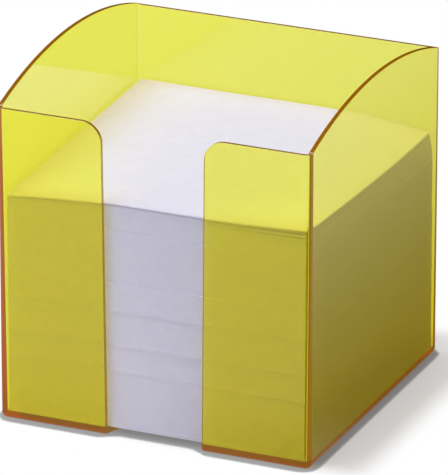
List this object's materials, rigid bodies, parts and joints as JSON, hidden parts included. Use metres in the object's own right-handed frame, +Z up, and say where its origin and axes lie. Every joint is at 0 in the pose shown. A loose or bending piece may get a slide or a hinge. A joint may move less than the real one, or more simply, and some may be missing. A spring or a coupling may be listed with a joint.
{
  "type": "memo box",
  "caption": "Open-topped clear yellow moulded box with arched sides and a front finger slot, holding a stack of loose square note sheets.",
  "frame": {"origin": "centre of the underside, on the surface that the box stands on", "axes": "+Z up, -Y the front with the finger slot, +X the right side seen from the front"},
  "size_m": [0.1, 0.1, 0.107],
  "materials": {
    "clear_yellow_plastic": "polished, moulded",
    "note_paper": "uncoated, matt"
  },
  "bodies": {
    "box": {"box_shell": "clear_yellow_plastic"},
    "sheet_bundle_01": {"sheet_bundle_01": "note_paper"},
    "sheet_bundle_02": {"sheet_bundle_02": "note_paper"},
    "sheet_bundle_03": {"sheet_bundle_03": "note_paper"},
    "sheet_bundle_04": {"sheet_bundle_04": "note_paper"},
    "sheet_bundle_05": {"sheet_bundle_05": "note_paper"},
    "sheet_bundle_06": {"sheet_bundle_06": "note_paper"},
    "sheet_bundle_07": {"sheet_bundle_07": "note_paper"},
    "sheet_bundle_08": {"sheet_bundle_08": "note_paper"},
    "sheet_bundle_09": {"sheet_bundle_09": "note_paper"},
    "sheet_bundle_10": {"sheet_bundle_10": "note_paper"},
    "sheet_bundle_11": {"sheet_bundle_11": "note_paper"},
    "sheet_bundle_12": {"sheet_bundle_12": "note_paper"},
    "sheet_bundle_13": {"sheet_bundle_13": "note_paper"},
    "sheet_bundle_14": {"sheet_bundle_14": "note_paper"},
    "top_sheet_1": {"top_sheet_1": "note_paper"},
    "top_sheet_2": {"top_sheet_2": "note_paper"},
    "top_sheet_3": {"top_sheet_3": "note_paper"},
    "top_sheet_4": {"top_sheet_4": "note_paper"},
    "top_sheet_5": {"top_sheet_5": "note_paper"},
    "top_sheet_6": {"top_sheet_6": "note_paper"}
  },
  "joints": [
    {"name": "lift_bundle_01", "type": "slide", "parent": "box", "child": "sheet_bundle_01", "axis": [0, 0, 1], "range_m": [0, 0.1088]},
    {"name": "lift_bundle_02", "type": "slide", "parent": "sheet_bundle_01", "child": "sheet_bundle_02", "axis": [0, 0, 1], "range_m": [0, 0.1038]},
    {"name": "lift_bundle_03", "type": "slide", "parent": "sheet_bundle_02", "child": "sheet_bundle_03", "axis": [0, 0, 1], "range_m": [0, 0.0988]},
    {"name": "lift_bundle_04", "type": "slide", "parent": "sheet_bundle_03", "child": "sheet_bundle_04", "axis": [0, 0, 1], "range_m": [0, 0.0938]},
    {"name": "lift_bundle_05", "type": "slide", "parent": "sheet_bundle_04", "child": "sheet_bundle_05", "axis": [0, 0, 1], "range_m": [0, 0.0888]},
    {"name": "lift_bundle_06", "type": "slide", "parent": "sheet_bundle_05", "child": "sheet_bundle_06", "axis": [0, 0, 1], "range_m": [0, 0.0838]},
    {"name": "lift_bundle_07", "type": "slide", "parent": "sheet_bundle_06", "child": "sheet_bundle_07", "axis": [0, 0, 1], "range_m": [0, 0.0788]},
    {"name": "lift_bundle_08", "type": "slide", "parent": "sheet_bundle_07", "child": "sheet_bundle_08", "axis": [0, 0, 1], "range_m": [0, 0.0738]},
    {"name": "lift_bundle_09", "type": "slide", "parent": "sheet_bundle_08", "child": "sheet_bundle_09", "axis": [0, 0, 1], "range_m": [0, 0.0688]},
    {"name": "lift_bundle_10", "type": "slide", "parent": "sheet_bundle_09", "child": "sheet_bundle_10", "axis": [0, 0, 1], "range_m": [0, 0.0638]},
    {"name": "lift_bundle_11", "type": "slide", "parent": "sheet_bundle_10", "child": "sheet_bundle_11", "axis": [0, 0, 1], "range_m": [0, 0.0588]},
    {"name": "lift_bundle_12", "type": "slide", "parent": "sheet_bundle_11", "child": "sheet_bundle_12", "axis": [0, 0, 1], "range_m": [0, 0.0538]},
    {"name": "lift_bundle_13", "type": "slide", "parent": "sheet_bundle_12", "child": "sheet_bundle_13", "axis": [0, 0, 1], "range_m": [0, 0.0488]},
    {"name": "lift_bundle_14", "type": "slide", "parent": "sheet_bundle_13", "child": "sheet_bundle_14", "axis": [0, 0, 1], "range_m": [0, 0.0438]},
    {"name": "lift_top_sheet_1", "type": "slide", "parent": "sheet_bundle_14", "child": "top_sheet_1", "axis": [0, 0, 1], "range_m": [0, 0.0388]},
    {"name": "lift_top_sheet_2", "type": "slide", "parent": "top_sheet_1", "child": "top_sheet_2", "axis": [0, 0, 1], "range_m": [0, 0.0387]},
    {"name": "lift_top_sheet_3", "type": "slide", "parent": "top_sheet_2", "child": "top_sheet_3", "axis": [0, 0, 1], "range_m": [0, 0.0386]},
    {"name": "lift_top_sheet_4", "type": "slide", "parent": "top_sheet_3", "child": "top_sheet_4", "axis": [0, 0, 1], "range_m": [0, 0.0385]},
    {"name": "lift_top_sheet_5", "type": "slide", "parent": "top_sheet_4", "child": "top_sheet_5", "axis": [0, 0, 1], "range_m": [0, 0.0384]},
    {"name": "lift_top_sheet_6", "type": "slide", "parent": "top_sheet_5", "child": "top_sheet_6", "axis": [0, 0, 1], "range_m": [0, 0.0383]}
  ]
}
